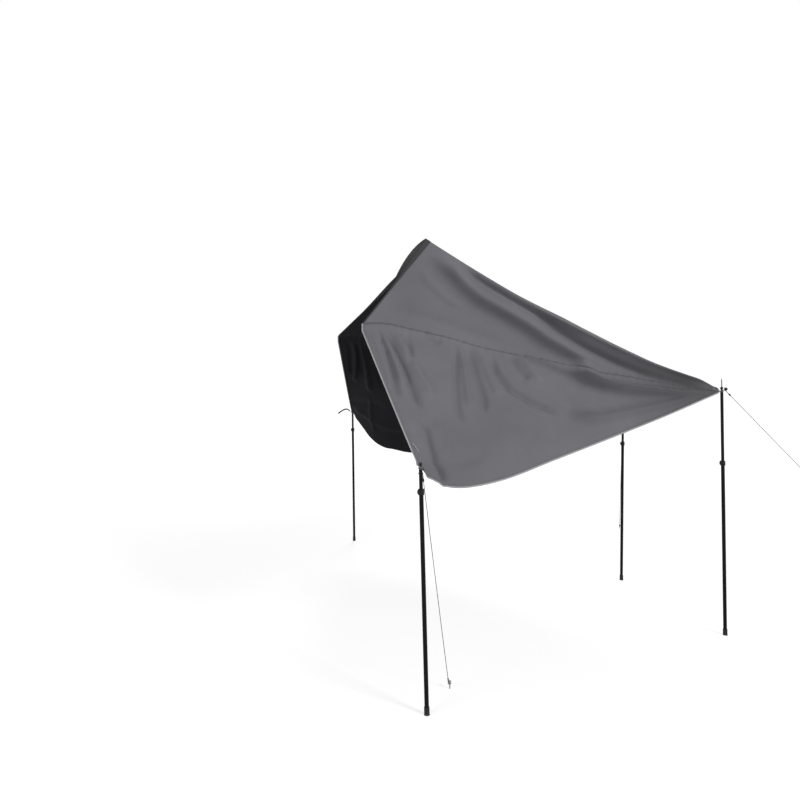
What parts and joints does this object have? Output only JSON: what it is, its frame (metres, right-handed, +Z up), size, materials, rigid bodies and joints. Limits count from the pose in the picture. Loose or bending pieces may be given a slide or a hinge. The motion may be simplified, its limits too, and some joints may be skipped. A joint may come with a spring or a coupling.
{
  "type": "roof tent sun canopy",
  "caption": "Sun canopy that zips to the end of a roof tent: sewn grey cloth roof with side panels on telescopic black poles, with guy ropes.",
  "frame": {"origin": "on the ground, under the middle of the canopy and its poles without the guy ropes", "axes": "+Z up, +X away from the tent, +Y along the tent's end from the near side to the far side"},
  "size_m": [3.4793, 4.0642, 2.7694],
  "materials": {
    "canopy_cloth": "matte coated polyester cloth",
    "hem_tape": "matte woven binding",
    "zip_flap": "matte woven strip",
    "webbing": "matte webbing",
    "guy_rope": "braided cord",
    "guy_slider": "matte moulded",
    "pole_tube": "black anodised satin",
    "black_plastic": "moulded satin",
    "foot_rubber": "matte",
    "steel_parts": "plated"
  },
  "bodies": {
    "canopy": {"roof_panel": "canopy_cloth", "near_side_panel": "canopy_cloth", "far_side_panel": "canopy_cloth", "outer_hem": "hem_tape", "near_front_hem": "hem_tape", "near_lower_hem": "hem_tape", "far_front_hem": "hem_tape", "far_lower_hem": "hem_tape", "tent_edge_strip": "zip_flap", "far_tent_tail": "webbing", "near_tent_patch": "webbing", "near_tent_eyelet": "steel_parts", "near_outer_patch": "webbing", "near_outer_eyelet": "steel_parts", "far_outer_patch": "webbing", "far_outer_eyelet": "steel_parts", "far_tent_patch": "webbing", "far_tent_eyelet": "steel_parts", "near_tent_guy_slider": "guy_slider", "near_tent_guy_rope": "guy_rope", "near_tent_guy_knot": "guy_rope", "near_tent_guy_peg": "steel_parts", "near_outer_guy_slider": "guy_slider", "near_outer_guy_rope": "guy_rope", "near_outer_guy_knot": "guy_rope", "near_outer_guy_peg": "steel_parts", "far_outer_guy_slider": "guy_slider", "far_outer_guy_rope": "guy_rope", "far_outer_guy_knot": "guy_rope", "far_outer_guy_peg": "steel_parts"},
    "near_tent_pole": {"near_tent_upper_tube": "pole_tube", "near_tent_spike": "steel_parts", "near_tent_knob": "black_plastic"},
    "near_tent_leg": {"near_tent_lower_tube": "pole_tube", "near_tent_foot": "foot_rubber", "near_tent_clamp": "black_plastic"},
    "near_tent_lock": {"near_tent_lever": "black_plastic"},
    "near_outer_pole": {"near_outer_upper_tube": "pole_tube", "near_outer_spike": "steel_parts", "near_outer_knob": "black_plastic"},
    "near_outer_leg": {"near_outer_lower_tube": "pole_tube", "near_outer_foot": "foot_rubber", "near_outer_clamp": "black_plastic"},
    "near_outer_lock": {"near_outer_lever": "black_plastic"},
    "far_outer_pole": {"far_outer_upper_tube": "pole_tube", "far_outer_spike": "steel_parts", "far_outer_knob": "black_plastic"},
    "far_outer_leg": {"far_outer_lower_tube": "pole_tube", "far_outer_foot": "foot_rubber", "far_outer_clamp": "black_plastic"},
    "far_outer_lock": {"far_outer_lever": "black_plastic"},
    "far_tent_pole": {"far_tent_upper_tube": "pole_tube", "far_tent_spike": "steel_parts", "far_tent_knob": "black_plastic"},
    "far_tent_leg": {"far_tent_lower_tube": "pole_tube", "far_tent_foot": "foot_rubber", "far_tent_clamp": "black_plastic"},
    "far_tent_lock": {"far_tent_lever": "black_plastic"}
  },
  "joints": [
    {"name": "near_tent_turn", "type": "hinge", "parent": "canopy", "child": "near_tent_pole", "pos_m": [-1.04384, -1.70524, 1.318], "axis": [-0.0273, -0.0038, 0.9996], "continuous": true},
    {"name": "near_tent_extend", "type": "slide", "parent": "near_tent_pole", "child": "near_tent_leg", "axis": [-0.0273, -0.0038, 0.9996], "range_m": [-0.75, 0.04]},
    {"name": "near_tent_lever_swing", "type": "hinge", "parent": "near_tent_leg", "child": "near_tent_lock", "pos_m": [-1.04036, -1.68286, 1.19063], "axis": [0.0273, 0.0038, -0.9996], "range_deg": [0, 115]},
    {"name": "near_outer_turn", "type": "hinge", "parent": "canopy", "child": "near_outer_pole", "pos_m": [1.22416, -1.11624, 1.69], "axis": [-0.016, 0, 0.9999], "continuous": true},
    {"name": "near_outer_extend", "type": "slide", "parent": "near_outer_pole", "child": "near_outer_leg", "axis": [-0.016, 0, 0.9999], "range_m": [-0.38, 0.4]},
    {"name": "near_outer_lever_swing", "type": "hinge", "parent": "near_outer_leg", "child": "near_outer_lock", "pos_m": [1.23213, -1.09434, 1.19085], "axis": [0.016, 0, -0.9999], "range_deg": [0, 115]},
    {"name": "far_outer_turn", "type": "hinge", "parent": "canopy", "child": "far_outer_pole", "pos_m": [1.15616, 0.03676, 1.693], "axis": [0.0077, -0.0041, 1], "continuous": true},
    {"name": "far_outer_extend", "type": "slide", "parent": "far_outer_pole", "child": "far_outer_leg", "axis": [0.0077, -0.0041, 1], "range_m": [-0.38, 0.4]},
    {"name": "far_outer_lever_swing", "type": "hinge", "parent": "far_outer_leg", "child": "far_outer_lock", "pos_m": [1.1523, 0.06073, 1.19104], "axis": [-0.0077, 0.0041, -1], "range_deg": [0, 115]},
    {"name": "far_tent_turn", "type": "hinge", "parent": "canopy", "child": "far_tent_pole", "pos_m": [-1.02885, 1.69076, 1.369], "axis": [-0.0146, -0.0146, 0.9998], "continuous": true},
    {"name": "far_tent_extend", "type": "slide", "parent": "far_tent_pole", "child": "far_tent_leg", "axis": [-0.0146, -0.0146, 0.9998], "range_m": [-0.7, 0.09]},
    {"name": "far_tent_lever_swing", "type": "hinge", "parent": "far_tent_leg", "child": "far_tent_lock", "pos_m": [-1.02624, 1.71526, 1.19107], "axis": [0.0146, 0.0146, -0.9998], "range_deg": [0, 115]}
  ]
}
